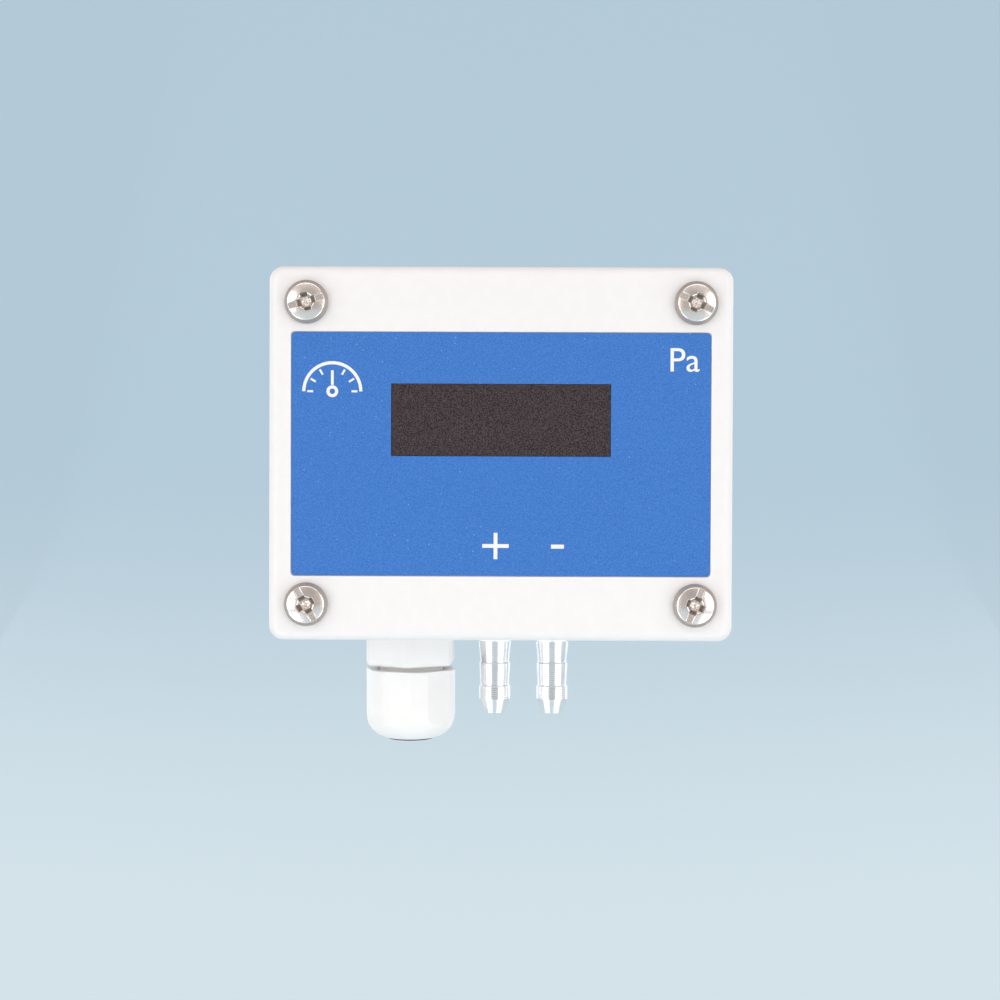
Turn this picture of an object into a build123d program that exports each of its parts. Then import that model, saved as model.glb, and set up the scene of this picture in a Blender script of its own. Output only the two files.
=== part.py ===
from build123d import *
import os
from math import cos, pi, radians

os.makedirs("parts", exist_ok=True)

# A wall-mounted differential pressure transmitter: a two-part plastic case with a smoked
# display window, four captive lid screws, a cable gland and two hose nozzles underneath.
# Sizes are in millimetres. Each piece is drawn as seen from the front, with X to the right,
# Y up and Z away from the wall, and stand_up() turns it upright at the end.

# Case
case_width = 102.0
case_height = 82.3
base_depth = 33.0
lid_depth = 13.0
case_wall = 3.0
back_wall = 3.0
front_wall = 2.8
case_corner = 3.2
lid_edge_round = 2.1
base_edge_round = 1.2
base_inset = 0.4
inner_corner = 1.2

# Gasket in the lid's rim
gasket_width = 1.3
gasket_height = 1.2
gasket_clearance = 0.05

# Lid screws
screw_inset_x = 8.35
screw_inset_y = 8.05
screw_head_radius = 4.77
screw_head_height = 2.6
screw_head_rim = 0.8
screw_shoulder_width = 0.9
screw_shoulder_height = 1.1
screw_shank_radius = 2.2
screw_length = 26.0
screw_tip = 1.5
screw_slot_width = 1.25
screw_slot_depth = 1.0
cross_length = 4.9
cross_depth = 2.0
screw_hole_clearance = 0.35
pilot_clearance = 0.08
pilot_spare = 1.5
post_radius = 5.0
screw_turns = {"top_left": 16.0, "top_right": -26.0, "bottom_left": -60.0, "bottom_right": 68.0}

# Front label and window
label_margin_x = 5.05
label_margin_y = 14.45
label_corner = 0.9
label_rise = -0.1
label_thickness = 0.3
label_recess = 0.4
label_clearance = 0.15
window_width = 48.0
window_height = 15.7
window_rise = 7.4
window_flange = 2.2
window_flange_thickness = 1.2
window_clearance = 0.1

# Holes for fixing the case to a wall
wall_hole_inset = 8.0
wall_hole_spacing_y = 44.0
wall_hole_radius = 2.15
wall_pad_radius = 4.0
wall_pad_height = 2.0

# Row of entries in the bottom wall
entry_depth = 16.5
gland_inset = 29.85
gland_to_ports = 19.85
port_spacing = 13.5

# Cable gland
gland_thread_radius = 8.0
gland_hex = 20.0
gland_hex_turn = 2.0
gland_hex_round = 2.2
gland_hex_lower_round = 1.3
gland_washer_thickness = 1.2
gland_washer_radius = 9.7
gland_hex_length = 7.45
gland_stub_inside = 7.5
gland_bore_radius = 5.2
gland_seat_radius = 6.75
gland_seat_depth = 6.1
gland_cap_thread_radius = 7.6
gland_cap_thread_length = 9.0
thread_clearance = 0.1
hole_clearance = 0.15
locknut_hex = 22.0
locknut_thickness = 5.0

# Dome nut, claw and seal of the gland
nut_gap = 1.0
nut_radius = 10.57
nut_flats = 20.0
nut_turn = -14.0
nut_straight = 11.55
nut_length = 16.1
nut_mouth_radius = 6.0
nut_top_round = 0.5
nut_thread_length = 10.15
nut_cone_radius = 6.8
nut_cone_end_radius = 6.15
nut_lip = 1.15
nut_lip_radius = 5.45
claw_clearance = 0.15
claw_tip_clearance = 0.2
claw_length = 11.6
claw_wall_inner = 5.35
claw_fingers = 8
claw_slot_width = 0.8
claw_slot_length = 6.5
seal_radius = 5.3
seal_bore_radius = 4.0
seal_proud = 0.35
seal_length = 13.0

# Hose nozzles
nozzle_hex = 8.1
nozzle_hex_length = 2.9
nozzle_root_radius = 3.9
nozzle_thread_radius = 3.0
nozzle_bore_radius = 1.7
nozzle_barb_radius = 3.7
nozzle_waist_radius = 3.4
nozzle_tip_radius = 2.65
nozzle_first_barb = 5.2
nozzle_second_barb = 5.4
nozzle_land = 3.2
nozzle_taper = 3.3
nozzle_thread_inside = 4.4
nozzle_washer_radius = 5.4
nozzle_washer_thickness = 0.8
nozzle_nut_hex = 10.0
nozzle_nut_thickness = 3.0
spigot_radius = 1.9
spigot_length = 6.0
spigot_bore_radius = 1.1

# Main board and its supports
board_gap_beside = 10.1
board_height = 56.0
board_thickness = 1.6
board_gap_below = 2.75
board_lift = 4.6
board_corner = 1.5
board_hole_inset = 3.5
board_post_radius = 3.0
board_screw_radius = 1.45
board_screw_head_radius = 2.75
board_screw_head_height = 1.9
board_screw_length = 7.0
board_hole_clearance = 0.15

# Display on its own small board
display_board_width = 56.0
display_board_height = 24.0
display_margin = 6.0
display_height = 14.6
display_depth = 8.0
spacer_length = 20.0
spacer_hex = 5.0
spacer_stud_radius = 1.45
spacer_inset = 3.0
display_screw_length = 5.0
header_pins = 8
header_pitch = 2.54
header_pin_width = 0.64
header_inset = 3.2
header_base = 2.5
header_socket = 8.5

# Pressure sensor and its tubes
sensor_width = 22.0
sensor_height = 14.0
sensor_depth = 11.8
sensor_round = 1.2
sensor_rise = 11.0
sensor_port_length = 6.0
sensor_lid_thickness = 1.4
sensor_lid_inset = 1.0
tube_wall = 1.1
tube_clearance = 0.06
tube_grip = 0.6

# Terminal block
terminal_poles = 5
terminal_pitch = 5.08
terminal_height = 10.0
terminal_depth = 10.0
terminal_chamfer = 1.6
terminal_rise = 13.0
terminal_screw_radius = 1.8
terminal_screw_length = 4.0
terminal_well_clearance = 0.2
terminal_well_depth = 5.2
terminal_screw_slot = 0.7
wire_entry_width = 3.6
wire_entry_height = 4.0
wire_entry_length = 6.0
wire_entry_rise = 1.0

# Small parts on the main board
chip_size = 9.0
chip_thickness = 1.4
chip_stand = 0.15
chip_x = -13.0
chip_leads = 6
chip_lead_width = 0.5
chip_lead_length = 1.2
capacitor_radius = 4.0
capacitor_length = 12.0
capacitor_edge = 0.4
capacitor_x = 8.0
capacitor_gap = 1.0
switch_size = 6.2
switch_height = 3.6
switch_rise = 4.3
switch_floor = 1.0
button_radius = 1.7
button_clearance = 0.06
button_proud = 1.4
button_flange_radius = 2.3
button_flange_thickness = 0.8
button_travel = 0.3
button_spare = 0.15

# Sizes worked out from the ones above
base_width = case_width - 2 * base_inset
base_height = case_height - 2 * base_inset
base_corner = case_corner - base_inset
case_depth = base_depth + lid_depth
screw_spacing_x = case_width - 2 * screw_inset_x
screw_spacing_y = case_height - 2 * screw_inset_y
wall_hole_spacing_x = case_width - 2 * wall_hole_inset
label_width = case_width - 2 * label_margin_x
label_height = case_height - 2 * label_margin_y
bottom_face = base_height / 2
gland_x = gland_inset - case_width / 2
port_positive_x = gland_x + gland_to_ports
port_negative_x = port_positive_x + port_spacing
board_width = base_width - 2 * case_wall - 2 * board_gap_beside
board_back = back_wall + board_lift
board_front = board_back + board_thickness
board_low = -bottom_face + case_wall + locknut_thickness + board_gap_below
board_y = board_low + board_height / 2
display_back = board_front + spacer_length
display_front = display_back + board_thickness
display_width = display_board_width - 2 * display_margin
gland_hex_start = gland_washer_thickness
gland_hex_end = gland_hex_start + gland_hex_length
nut_start = gland_hex_end + nut_gap
nut_end = nut_start + nut_length
seal_end = nut_end + seal_proud
claw_end = nut_end - nut_lip - claw_clearance
claw_start = claw_end - claw_length
window_front = case_depth - label_recess + label_thickness
window_opening_back = case_depth - front_wall
spigot_end = case_wall + nozzle_thread_inside + spigot_length
sensor_x = port_positive_x + port_spacing / 2
sensor_port_y = board_low + sensor_rise
terminal_y = board_low + terminal_rise
switch_y = board_low + switch_rise


def stand_up(piece):
    """Turn a piece from the front view to the upright frame, with its wall side at the back."""
    return Plane.XZ.location * piece


def save(piece, name):
    """Write one piece, upright, under its node's name."""
    export_step(stand_up(piece), f"parts/{name}.step")


def slab(width, height, corner, near, far):
    """Rounded rectangle centred on the case, filled between two distances from the wall."""
    return Pos(0, 0, near) * extrude(RectangleRounded(width, height, corner), far - near)


def column(radius, near, far):
    """Round bar along the viewing direction between two distances from the wall."""
    return Pos(0, 0, near) * extrude(Circle(radius), far - near)


def turned(points):
    """Solid turned about the Z axis from a closed outline of (radius, height) points."""
    outline = Polyline(*[(radius, 0, height) for radius, height in points], close=True)
    return revolve(make_face(outline), Axis.Z)


def hex_bar(across_flats, low, high, turn=0.0):
    """Hexagonal bar about the Z axis, with a flat towards +X before it is turned."""
    outline = RegularPolygon(across_flats / 2, 6, major_radius=False, rotation=30 + turn)
    return Pos(0, 0, low) * extrude(outline, high - low)


def hang(piece, x):
    """Place a piece, drawn with +Z as its way out, on the bottom wall's outer face."""
    return Pos(x, -bottom_face, entry_depth) * Rot(90, 0, 0) * piece


def grid(spacing_x, spacing_y):
    """The four corners of a rectangle centred on the case."""
    return [(sx * spacing_x / 2, sy * spacing_y / 2) for sy in (1, -1) for sx in (-1, 1)]


def board_holes():
    """Centres of the main board's four fixing holes."""
    spots = grid(board_width - 2 * board_hole_inset, board_height - 2 * board_hole_inset)
    return [(x, y + board_y) for x, y in spots]


def spacer_spots():
    """Centres of the four spacers that carry the display's board."""
    spots = grid(display_board_width - 2 * spacer_inset, display_board_height - 2 * spacer_inset)
    return [(x, y + window_rise) for x, y in spots]


def corner_post(x, y, half_width, half_height, near, far):
    """Round post for a lid screw, filled out to the two walls that meet beside it."""
    side_x = half_width - abs(x)
    side_y = half_height - abs(y)
    post = Pos(x, y, 0) * column(post_radius, near, far)
    fill = extrude(Rectangle(side_x, post_radius + side_y), far - near)
    along = extrude(Rectangle(post_radius + side_x, side_y), far - near)
    sign_x = 1 if x > 0 else -1
    sign_y = 1 if y > 0 else -1
    post += Pos(x + sign_x * side_x / 2, y + sign_y * (side_y - post_radius) / 2, near) * fill
    post += Pos(x + sign_x * (side_x - post_radius) / 2, y + sign_y * side_y / 2, near) * along
    return post


def make_enclosure_base():
    outer = slab(base_width, base_height, base_corner, 0, base_depth)
    outer = fillet(outer.faces().sort_by(Axis.Z)[0].edges(), base_edge_round)
    room_width = base_width - 2 * case_wall
    room_height = base_height - 2 * case_wall
    base = outer - slab(room_width, room_height, inner_corner, back_wall, base_depth)
    pilot_radius = screw_shank_radius + pilot_clearance
    pilot_bottom = case_depth - screw_length - pilot_spare
    wall_middle_x = (base_width - case_wall) / 2
    wall_middle_y = (base_height - case_wall) / 2
    for x, y in grid(screw_spacing_x, screw_spacing_y):
        base += corner_post(x, y, wall_middle_x, wall_middle_y, back_wall / 2, base_depth)
    for x, y in grid(screw_spacing_x, screw_spacing_y):
        base -= Pos(x, y, 0) * column(pilot_radius, pilot_bottom, base_depth)
    for x, y in board_holes():
        base += Pos(x, y, 0) * column(board_post_radius, back_wall / 2, board_back)
        screw_bottom = board_front - board_screw_length - pilot_spare
        base -= Pos(x, y, 0) * column(board_screw_radius + pilot_clearance, screw_bottom, board_back)
    for x, y in grid(wall_hole_spacing_x, wall_hole_spacing_y):
        base += Pos(x, y, 0) * column(wall_pad_radius, back_wall / 2, back_wall + wall_pad_height)
        base -= Pos(x, y, 0) * column(wall_hole_radius, 0, back_wall + wall_pad_height)
    gland_hole = column(gland_thread_radius + hole_clearance, -2 * case_wall, case_wall)
    base -= hang(gland_hole, gland_x)
    for x in (port_positive_x, port_negative_x):
        port_hole = column(nozzle_thread_radius + hole_clearance, -2 * case_wall, case_wall)
        base -= hang(port_hole, x)
    return base


def make_enclosure_lid():
    outer = slab(case_width, case_height, case_corner, base_depth, case_depth)
    outer = fillet(outer.faces().sort_by(Axis.Z)[-1].edges(), lid_edge_round)
    room_width = case_width - 2 * case_wall
    room_height = case_height - 2 * case_wall
    room_top = case_depth - front_wall
    lid = outer - slab(room_width, room_height, inner_corner, base_depth, room_top)
    wall_middle_x = (case_width - case_wall) / 2
    wall_middle_y = (case_height - case_wall) / 2
    floor_of_posts = base_depth + gasket_height
    for x, y in grid(screw_spacing_x, screw_spacing_y):
        lid += corner_post(x, y, wall_middle_x, wall_middle_y, floor_of_posts, room_top + front_wall / 2)
    for x, y in grid(screw_spacing_x, screw_spacing_y):
        lid += Pos(x, y, 0) * column(post_radius - gasket_clearance, base_depth, room_top)
        lid -= Pos(x, y, 0) * column(screw_shank_radius + screw_hole_clearance, base_depth, case_depth)
    lid -= gasket_ring(gasket_clearance, base_depth, base_depth + gasket_height)
    recess_width = label_width + 2 * label_clearance
    recess_height = label_height + 2 * label_clearance
    recess = slab(recess_width, recess_height, label_corner, case_depth - label_recess, case_depth)
    lid -= Pos(0, label_rise, 0) * recess
    opening = window_plate(window_clearance, base_depth, case_depth)
    return lid - opening


def gasket_ring(clearance, near, far):
    """Ring that follows the middle of the lid's wall."""
    outer_width = case_width - case_wall + gasket_width + 2 * clearance
    outer_height = case_height - case_wall + gasket_width + 2 * clearance
    corner = case_corner - (case_wall - gasket_width) / 2 + clearance
    inner_step = 2 * gasket_width + 4 * clearance
    ring = slab(outer_width, outer_height, corner, near, far)
    hole = slab(outer_width - inner_step, outer_height - inner_step, inner_corner / 2, near, far)
    return ring - hole


def make_lid_gasket():
    return gasket_ring(0, base_depth, base_depth + gasket_height - gasket_clearance)


def window_plate(clearance, near, far):
    """Square-cornered block in the window's place."""
    size = Rectangle(window_width + 2 * clearance, window_height + 2 * clearance)
    return Pos(0, window_rise, near) * extrude(size, far - near)


def make_front_label():
    back = case_depth - label_recess
    film = Pos(0, label_rise, 0) * slab(label_width, label_height, label_corner, back, window_front)
    return film - window_plate(window_clearance, back, window_front)


def make_display_window():
    flange_back = window_opening_back - window_flange_thickness
    flange = window_plate(window_flange, flange_back, window_opening_back)
    return window_plate(0, flange_back, window_front) + flange


def make_lid_screw(turn):
    """Pan head with a slot and a cross, drawn with its seat at height 0."""
    shoulder_start = (screw_head_radius, 0, screw_head_rim)
    crown_radius = screw_head_radius - screw_shoulder_width
    crown_start = (crown_radius, 0, screw_head_rim + screw_shoulder_height)
    shoulder_middle = (
        crown_radius + screw_shoulder_width * cos(pi / 4),
        0,
        screw_head_rim + screw_shoulder_height * cos(pi / 4),
    )
    side = Polyline((0, 0, 0), (screw_head_radius, 0, 0), shoulder_start)
    shoulder = ThreePointArc(shoulder_start, shoulder_middle, crown_start)
    crown = Polyline(crown_start, (0, 0, screw_head_height), (0, 0, 0))
    head = revolve(make_face(side + shoulder + crown), Axis.Z)
    slot = Box(3 * screw_head_radius, screw_slot_width, screw_slot_depth * 2)
    head -= Pos(0, 0, screw_head_height) * slot
    for angle in (0, 90):
        arm = Box(cross_length, screw_slot_width, cross_depth * 2)
        head -= Pos(0, 0, screw_head_height) * Rot(0, 0, angle) * arm
    shank = turned(
        [
            (0, 0),
            (screw_shank_radius, 0),
            (screw_shank_radius, screw_tip - screw_length),
            (screw_shank_radius / 2, -screw_length),
            (0, -screw_length),
        ]
    )
    return Rot(0, 0, turn) * (head + shank)


def make_gland_washer():
    ring = column(gland_washer_radius, 0, gland_washer_thickness)
    return hang(ring - column(gland_thread_radius + hole_clearance, 0, gland_washer_thickness), gland_x)


def make_gland_body():
    hexagon = hex_bar(gland_hex, gland_hex_start, gland_hex_end, gland_hex_turn)
    hexagon = fillet(hexagon.edges().filter_by(Axis.Z), gland_hex_round)
    hexagon = fillet(hexagon.faces().sort_by(Axis.Z)[-1].edges(), gland_hex_lower_round)
    stub = column(gland_thread_radius, -case_wall - gland_stub_inside, gland_hex_start)
    cap_thread = column(gland_cap_thread_radius, gland_hex_end, gland_hex_end + gland_cap_thread_length)
    thread_end = gland_hex_end + gland_cap_thread_length
    bore = column(gland_bore_radius, -case_wall - gland_stub_inside, thread_end)
    seat = column(gland_seat_radius, thread_end - gland_seat_depth, thread_end)
    return hang(hexagon + stub + cap_thread - bore - seat, gland_x)


def make_gland_locknut():
    low = -case_wall - locknut_thickness
    nut = hex_bar(locknut_hex, low, -case_wall)
    corner_cut = locknut_hex / 2 / cos(pi / 6)
    rounded = turned(
        [
            (0, low),
            (locknut_hex / 2, low),
            (corner_cut, low + (corner_cut - locknut_hex / 2) / 2),
            (corner_cut, -case_wall),
            (0, -case_wall),
        ]
    )
    nut &= rounded
    return hang(nut - column(gland_thread_radius + thread_clearance, low, -case_wall), gland_x)


def make_gland_nut():
    """Dome nut: a round cap with six flats, a threaded bore and a cone that closes the claw."""
    straight_end = nut_start + nut_straight
    foot = (nut_radius - nut_top_round, nut_start)
    side = Polyline(
        (0, 0, nut_start),
        (foot[0], 0, foot[1]),
        (nut_radius, 0, nut_start + nut_top_round),
        (nut_radius, 0, straight_end),
    )
    dome_height = nut_end - straight_end
    dome_width = nut_radius - nut_mouth_radius
    middle = (
        nut_mouth_radius + dome_width * cos(radians(40)),
        0,
        straight_end + dome_height * cos(radians(50)),
    )
    dome = ThreePointArc((nut_radius, 0, straight_end), middle, (nut_mouth_radius, 0, nut_end))
    close = Polyline((nut_mouth_radius, 0, nut_end), (0, 0, nut_end), (0, 0, nut_start))
    cap = revolve(make_face(side + dome + close), Axis.Z)
    cap &= hex_bar(nut_flats, nut_start, nut_end, nut_turn)
    thread_radius = gland_cap_thread_radius + thread_clearance
    thread_end = nut_start + nut_thread_length
    cone_end = nut_end - nut_lip
    hollow = turned(
        [
            (0, nut_start),
            (thread_radius, nut_start),
            (thread_radius, thread_end),
            (nut_cone_radius, thread_end),
            (nut_cone_end_radius, cone_end),
            (nut_lip_radius, cone_end),
            (nut_lip_radius, nut_end),
            (0, nut_end),
        ]
    )
    return hang(cap - hollow, gland_x)


def make_gland_claw():
    """Ring of fingers that the dome nut's cone presses onto the seal."""
    cone_start = nut_start + nut_thread_length
    top_radius = gland_seat_radius - claw_clearance
    low_radius = nut_cone_end_radius - claw_tip_clearance
    ring = turned(
        [
            (claw_wall_inner, claw_start),
            (top_radius, claw_start),
            (top_radius, cone_start),
            (low_radius, claw_end),
            (claw_wall_inner, claw_end),
        ]
    )
    for index in range(claw_fingers):
        slot = Box(2 * gland_seat_radius, claw_slot_width, claw_slot_length)
        middle = claw_end - claw_slot_length / 2
        ring -= Rot(0, 0, index * 360 / claw_fingers) * Pos(gland_seat_radius, 0, middle) * slot
    return hang(ring, gland_x)


def make_gland_seal():
    sleeve = column(seal_radius, seal_end - seal_length, seal_end)
    return hang(sleeve - column(seal_bore_radius, seal_end - seal_length, seal_end), gland_x)


def make_nozzle(x):
    """Turned hose nozzle: an inner spigot, a threaded stub, a hexagon and two sharp barbs."""
    thread_start = -case_wall - nozzle_thread_inside
    root = nozzle_hex_length
    first = root + nozzle_first_barb
    second = first + nozzle_second_barb
    land_end = second + nozzle_land
    tip = land_end + nozzle_taper
    stem = turned(
        [
            (0, -spigot_end),
            (spigot_radius, -spigot_end),
            (spigot_radius, thread_start),
            (nozzle_thread_radius, thread_start),
            (nozzle_thread_radius, 0),
            (nozzle_root_radius, 0),
            (nozzle_root_radius, root),
            (nozzle_waist_radius, first),
            (nozzle_barb_radius, first),
            (nozzle_waist_radius, second),
            (nozzle_barb_radius, second),
            (nozzle_barb_radius, land_end),
            (nozzle_tip_radius, tip),
            (0, tip),
        ]
    )
    nozzle = stem + hex_bar(nozzle_hex, 0, nozzle_hex_length)
    nozzle -= column(nozzle_bore_radius, thread_start, tip)
    nozzle -= column(spigot_bore_radius, -spigot_end, thread_start)
    return hang(nozzle, x)


def make_nozzle_washers():
    washers = []
    top = -case_wall
    for x in (port_positive_x, port_negative_x):
        ring = column(nozzle_washer_radius, top - nozzle_washer_thickness, top)
        ring -= column(nozzle_thread_radius + hole_clearance, top - nozzle_washer_thickness, top)
        washers.append(hang(ring, x))
    return Compound(washers)


def make_nozzle_nuts():
    nuts = []
    high = -case_wall - nozzle_washer_thickness
    low = high - nozzle_nut_thickness
    for x in (port_positive_x, port_negative_x):
        nut = hex_bar(nozzle_nut_hex, low, high)
        nut -= column(nozzle_thread_radius + thread_clearance, low, high)
        nuts.append(hang(nut, x))
    return Compound(nuts)


def make_main_board():
    board = Pos(0, board_y, 0) * slab(board_width, board_height, board_corner, board_back, board_front)
    for x, y in board_holes():
        board -= Pos(x, y, 0) * column(board_screw_radius + board_hole_clearance, board_back, board_front)
    for x, y in spacer_spots():
        board -= Pos(x, y, 0) * column(spacer_stud_radius + board_hole_clearance, board_back, board_front)
    return board


def pan_screw(seat, length):
    """Small screw with a slotted cheese head, seated on a face at a distance from the wall."""
    head = column(board_screw_head_radius, seat, seat + board_screw_head_height)
    slot = Box(2 * board_screw_head_radius, board_screw_radius / 2, board_screw_head_height)
    head -= Pos(0, 0, seat + board_screw_head_height) * slot
    return head + column(board_screw_radius, seat - length, seat)


def make_board_screws():
    screw = pan_screw(board_front, board_screw_length)
    return Compound([Pos(x, y, 0) * screw for x, y in board_holes()])


def make_display_spacers():
    bar = hex_bar(spacer_hex, board_front, display_back)
    hole_start = display_back - display_screw_length
    bar -= column(spacer_stud_radius + pilot_clearance, hole_start, display_back)
    bar += column(spacer_stud_radius, board_back, board_front)
    return Compound([Pos(x, y, 0) * bar for x, y in spacer_spots()])


def make_display_board():
    size = RectangleRounded(display_board_width, display_board_height, board_corner)
    board = Pos(0, window_rise, display_back) * extrude(size, board_thickness)
    for x, y in spacer_spots():
        hole = column(spacer_stud_radius + board_hole_clearance, display_back, display_front)
        board -= Pos(x, y, 0) * hole
    return board


def make_display_screws():
    screw = pan_screw(display_front, display_screw_length)
    return Compound([Pos(x, y, 0) * screw for x, y in spacer_spots()])


def make_display_module():
    block = Box(display_width, display_height, display_depth)
    block = chamfer(block.faces().sort_by(Axis.Z)[-1].edges(), 0.5)
    return Pos(0, window_rise, display_front + display_depth / 2) * block


def make_display_header():
    """Row of pins with a foot on the main board and a socket under the display's board."""
    row_length = header_pins * header_pitch
    foot = Pos(0, 0, board_front + header_base / 2) * Box(row_length, header_pitch, header_base)
    socket_middle = display_back - header_socket / 2
    header = foot + Pos(0, 0, socket_middle) * Box(row_length, header_pitch, header_socket)
    pin_length = display_back - header_socket - board_front - header_base
    pin_middle = board_front + header_base + pin_length / 2
    for index in range(header_pins):
        x = (index - (header_pins - 1) / 2) * header_pitch
        header += Pos(x, 0, pin_middle) * Box(header_pin_width, header_pin_width, pin_length)
    return Pos(0, window_rise + display_board_height / 2 - header_inset, 0) * header


def make_pressure_sensor():
    """Sensor block with a stepped lid and two spigots that point down to the nozzles."""
    body_depth = sensor_depth - sensor_lid_thickness
    block = Box(sensor_width, sensor_height, body_depth)
    block = fillet(block.edges().filter_by(Axis.Z), sensor_round)
    block = Pos(0, 0, board_front + body_depth / 2) * block
    lid_width = sensor_width - 2 * sensor_lid_inset
    lid_height = sensor_height - 2 * sensor_lid_inset
    lid = RectangleRounded(lid_width, lid_height, sensor_round)
    block += Pos(0, 0, board_front + body_depth) * extrude(lid, sensor_lid_thickness)
    sensor = Pos(sensor_x, sensor_port_y + sensor_height / 2, 0) * block
    for side in (-1, 1):
        spigot = column(spigot_radius, -sensor_round, sensor_port_length)
        spigot -= column(spigot_bore_radius, 0, sensor_port_length)
        x = sensor_x + side * port_spacing / 2
        sensor += Pos(x, sensor_port_y, entry_depth) * Rot(90, 0, 0) * spigot
    return sensor


def make_sensor_tube(x):
    """Soft tube pushed over a nozzle's inner spigot and the sensor's spigot above it."""
    near = case_wall + nozzle_thread_inside + tube_grip
    far = bottom_face + sensor_port_y - tube_grip
    inner = spigot_radius + tube_clearance
    tube = column(inner + tube_wall, -far, -near) - column(inner, -far, -near)
    return hang(tube, x)


def terminal_spots():
    """Places of the terminal block's poles along the X axis."""
    middle = (terminal_poles - 1) / 2
    return [gland_x + (index - middle) * terminal_pitch for index in range(terminal_poles)]


def make_terminal_block():
    """Row of screw terminals, with wire entries below and screw wells in front."""
    length = terminal_poles * terminal_pitch
    block = Box(length, terminal_height, terminal_depth)
    front_edges = block.faces().sort_by(Axis.Z)[-1].edges().filter_by(Axis.X)
    block = chamfer(front_edges, terminal_chamfer)
    block = Pos(gland_x, terminal_y, board_front + terminal_depth / 2) * block
    front = board_front + terminal_depth
    for x in terminal_spots():
        well = column(terminal_screw_radius + terminal_well_clearance, front - terminal_well_depth, front)
        block -= Pos(x, terminal_y, 0) * well
        entry = Box(wire_entry_width, wire_entry_length, wire_entry_height)
        entry_y = terminal_y - terminal_height / 2 + wire_entry_length / 2
        entry_z = board_front + wire_entry_rise + wire_entry_height / 2
        block -= Pos(x, entry_y, entry_z) * entry
    return block


def make_terminal_screws():
    front = board_front + terminal_depth
    seat = front - terminal_well_depth
    screw = column(terminal_screw_radius, seat, seat + terminal_screw_length)
    slot = Box(2 * terminal_screw_radius, terminal_screw_slot, terminal_screw_length / 2)
    screw -= Pos(0, 0, seat + terminal_screw_length) * slot
    return Compound([Pos(x, terminal_y, 0) * screw for x in terminal_spots()])


def make_controller_chip():
    """Flat square chip with short legs on its four sides."""
    middle = board_front + chip_stand + chip_thickness / 2
    chip = Pos(0, 0, middle) * Box(chip_size, chip_size, chip_thickness)
    pitch = chip_size / (chip_leads + 1)
    leg_height = chip_stand + chip_thickness / 2
    for side in range(4):
        for index in range(chip_leads):
            along = (index - (chip_leads - 1) / 2) * pitch
            leg = Box(chip_lead_length, chip_lead_width, leg_height)
            out = chip_size / 2 + chip_lead_length / 2
            chip += Rot(0, 0, 90 * side) * Pos(out, along, board_front + leg_height / 2) * leg
    return Pos(chip_x, window_rise, 0) * chip


def make_capacitors():
    can = column(capacitor_radius, board_front, board_front + capacitor_length)
    can = chamfer(can.faces().sort_by(Axis.Z)[-1].edges(), capacitor_edge)
    step = 2 * capacitor_radius + capacitor_gap
    return Compound([Pos(capacitor_x + index * step, window_rise, 0) * can for index in range(2)])


def make_zero_switch():
    """Square push switch, hollow where the button slides."""
    top = board_front + switch_height
    block = Pos(0, 0, board_front + switch_height / 2) * Box(switch_size, switch_size, switch_height)
    room_radius = button_flange_radius + button_clearance
    room_top = top - button_flange_thickness
    room_height = button_flange_thickness + button_travel + button_spare
    block -= column(button_radius + button_clearance, board_front + switch_floor, top)
    block -= column(room_radius, room_top - room_height, room_top)
    return Pos(sensor_x, switch_y, 0) * block


def make_zero_button():
    """Round button with a flange that keeps it in the switch."""
    top = board_front + switch_height
    flange_top = top - button_flange_thickness - button_clearance
    button = column(button_radius, flange_top, top + button_proud)
    button += column(button_flange_radius, flange_top - button_flange_thickness, flange_top)
    return Pos(sensor_x, switch_y, 0) * button


save(make_enclosure_base(), "enclosure_base")
save(make_enclosure_lid(), "enclosure_lid")
save(make_lid_gasket(), "lid_gasket")
save(make_front_label(), "front_label")
save(make_display_window(), "display_window")
for (x, y), (corner, turn) in zip(grid(screw_spacing_x, screw_spacing_y), screw_turns.items()):
    save(Pos(x, y, case_depth) * make_lid_screw(turn), f"lid_screw_{corner}")
save(make_gland_washer(), "gland_washer")
save(make_gland_body(), "gland_body")
save(make_gland_locknut(), "gland_locknut")
save(make_gland_nut(), "gland_nut")
save(make_gland_claw(), "gland_claw")
save(make_gland_seal(), "gland_seal")
save(make_nozzle(port_positive_x), "nozzle_positive")
save(make_nozzle(port_negative_x), "nozzle_negative")
save(make_nozzle_washers(), "nozzle_washers")
save(make_nozzle_nuts(), "nozzle_nuts")
save(make_main_board(), "main_board")
save(make_board_screws(), "board_screws")
save(make_display_spacers(), "display_spacers")
save(make_display_board(), "display_board")
save(make_display_screws(), "display_screws")
save(make_display_module(), "display_module")
save(make_display_header(), "display_header")
save(make_pressure_sensor(), "pressure_sensor")
save(make_sensor_tube(port_positive_x), "sensor_tube_positive")
save(make_sensor_tube(port_negative_x), "sensor_tube_negative")
save(make_terminal_block(), "terminal_block")
save(make_terminal_screws(), "terminal_screws")
save(make_controller_chip(), "controller_chip")
save(make_capacitors(), "capacitors")
save(make_zero_switch(), "zero_switch")
save(make_zero_button(), "zero_button")
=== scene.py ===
import math

import bmesh
import bpy
import numpy as np
from mathutils import Matrix, Vector


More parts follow.
